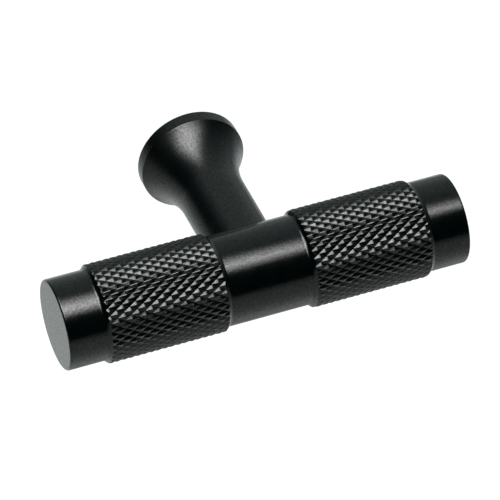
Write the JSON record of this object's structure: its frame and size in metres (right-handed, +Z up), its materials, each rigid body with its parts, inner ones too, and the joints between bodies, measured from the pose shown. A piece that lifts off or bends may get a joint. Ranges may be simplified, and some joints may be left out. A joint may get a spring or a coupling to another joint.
{
  "type": "cabinet knob",
  "caption": "Knurled round bar across a flared post: a pull for a cabinet door or drawer, held by a machine screw in the back of its foot.",
  "frame": {"origin": "centre of the foot's back face, which lies on the door", "axes": "+X along the bar, +Y into the door, +Z up as mounted on a door"},
  "size_m": [0.06, 0.0344, 0.0156],
  "materials": {
    "black_coating": "satin black coating over a fine blasted texture",
    "steel": "bare turned steel, hidden inside"
  },
  "bodies": {
    "root": {"grip_bar": "black_coating", "post": "black_coating", "joining_stud": "steel"}
  },
  "joints": []
}
